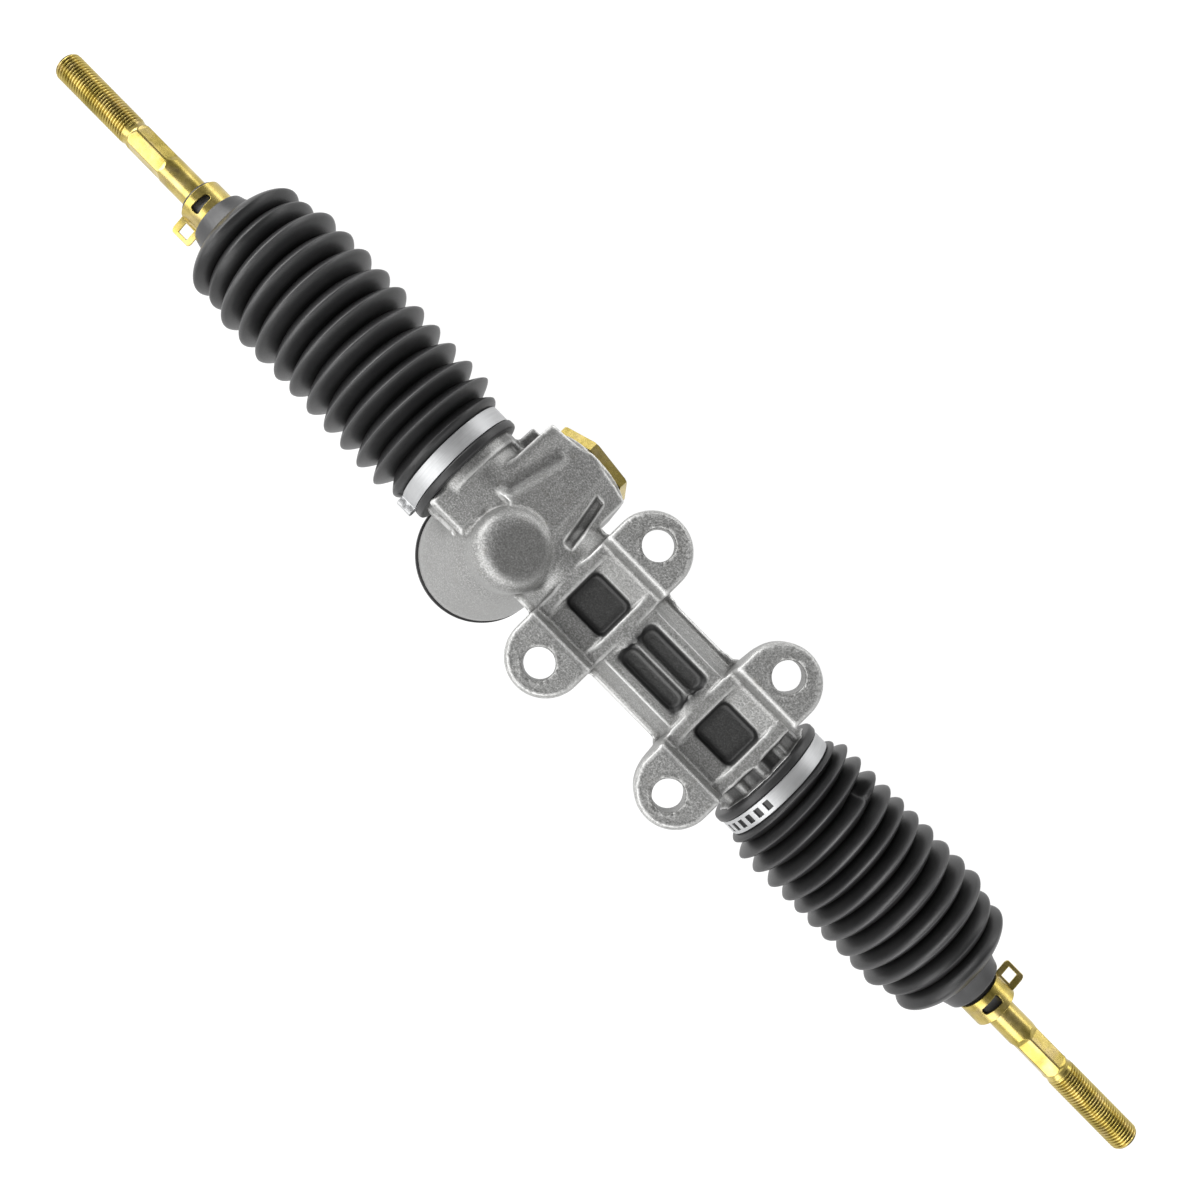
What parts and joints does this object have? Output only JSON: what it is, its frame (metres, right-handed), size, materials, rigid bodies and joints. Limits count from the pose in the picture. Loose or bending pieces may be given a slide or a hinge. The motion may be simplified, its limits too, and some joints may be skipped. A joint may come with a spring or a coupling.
{
  "type": "steering rack",
  "caption": "Manual rack and pinion steering gear: cast housing with bolt ears, toothed rack, pinion input shaft, rubber bellows and threaded inner tie rods.",
  "frame": {"origin": "centre of the rectangle of four bolt holes, in the plane of the ear faces that bolt up against the vehicle", "axes": "+Z is the outward normal of the ear faces, +X runs along the rack away from the pinion, +Y is the side of the rack that the yoke and its lock nut are on. The pinion's input shaft points down and a little outward. The rack axis is 28 mm below the origin."},
  "size_m": [0.5864, 0.0903, 0.0899],
  "materials": {
    "cast_aluminium": "as cast, lightly blasted",
    "bellows_rubber": "satin moulded",
    "seal_rubber": "matt moulded",
    "zinc_yellow_steel": "yellow passivated zinc",
    "bright_band_steel": "bright rolled strip",
    "machined_steel": "turned and oiled",
    "bearing_steel": "ground",
    "dark_spring_steel": "phosphated",
    "bush_plastic": "moulded acetal"
  },
  "bodies": {
    "housing": {"rack_housing": "cast_aluminium", "rack_bush": "bush_plastic", "left_travel_stop": "seal_rubber", "right_travel_stop": "seal_rubber", "pinion_bearing_outer_ring": "bearing_steel", "pinion_bearing_balls": "bearing_steel", "pinion_needle_bush": "bearing_steel", "pinion_circlip": "dark_spring_steel", "pinion_oil_seal": "seal_rubber", "pinion_dust_cover": "seal_rubber", "yoke": "cast_aluminium", "yoke_pad": "bush_plastic", "yoke_o_ring": "seal_rubber", "yoke_spring": "dark_spring_steel", "yoke_plug": "zinc_yellow_steel", "yoke_lock_nut": "zinc_yellow_steel", "left_bellows": "bellows_rubber", "right_bellows": "bellows_rubber", "left_large_clamp": "bright_band_steel", "right_large_clamp": "bright_band_steel"},
    "rack": {"rack_bar": "machined_steel", "left_lock_washer": "machined_steel", "right_lock_washer": "machined_steel", "left_ball_socket": "machined_steel", "right_ball_socket": "machined_steel"},
    "pinion": {"pinion_shaft": "machined_steel", "pinion_bearing_inner_ring": "bearing_steel"},
    "left_seat": {"left_ball_seat": "bush_plastic"},
    "right_seat": {"right_ball_seat": "bush_plastic"},
    "left_rod": {"left_tie_rod": "zinc_yellow_steel", "left_small_clamp": "zinc_yellow_steel"},
    "right_rod": {"right_tie_rod": "zinc_yellow_steel", "right_small_clamp": "zinc_yellow_steel"}
  },
  "joints": [
    {"name": "rack_slide", "type": "slide", "parent": "housing", "child": "rack", "axis": [1, 0, 0], "range_m": [-0.0295, 0.0505], "deforming": ["left_bellows", "right_bellows"]},
    {"name": "pinion_turn", "type": "hinge", "parent": "housing", "child": "pinion", "pos_m": [-0.0746, -0.01261, -0.02485], "axis": [-0.2164, -0.2362, -0.9473], "range_deg": [-269.91, 461.7]},
    {"name": "left_rod_lift", "type": "hinge", "parent": "rack", "child": "left_seat", "pos_m": [-0.1944, 0, -0.028], "axis": [0, 1, 0], "range_deg": [-15, 15]},
    {"name": "left_rod_sweep", "type": "hinge", "parent": "left_seat", "child": "left_rod", "pos_m": [-0.1944, 0, -0.028], "axis": [0, 0, -1], "range_deg": [-12, 12]},
    {"name": "right_rod_lift", "type": "hinge", "parent": "rack", "child": "right_seat", "pos_m": [0.1234, 0, -0.028], "axis": [0, -1, 0], "range_deg": [-15, 15]},
    {"name": "right_rod_sweep", "type": "hinge", "parent": "right_seat", "child": "right_rod", "pos_m": [0.1234, 0, -0.028], "axis": [0, 0, 1], "range_deg": [-12, 12]}
  ],
  "couplings": [
    {"joint": "pinion_turn", "follows": "rack_slide", "rad_per_m": 159.4}
  ]
}
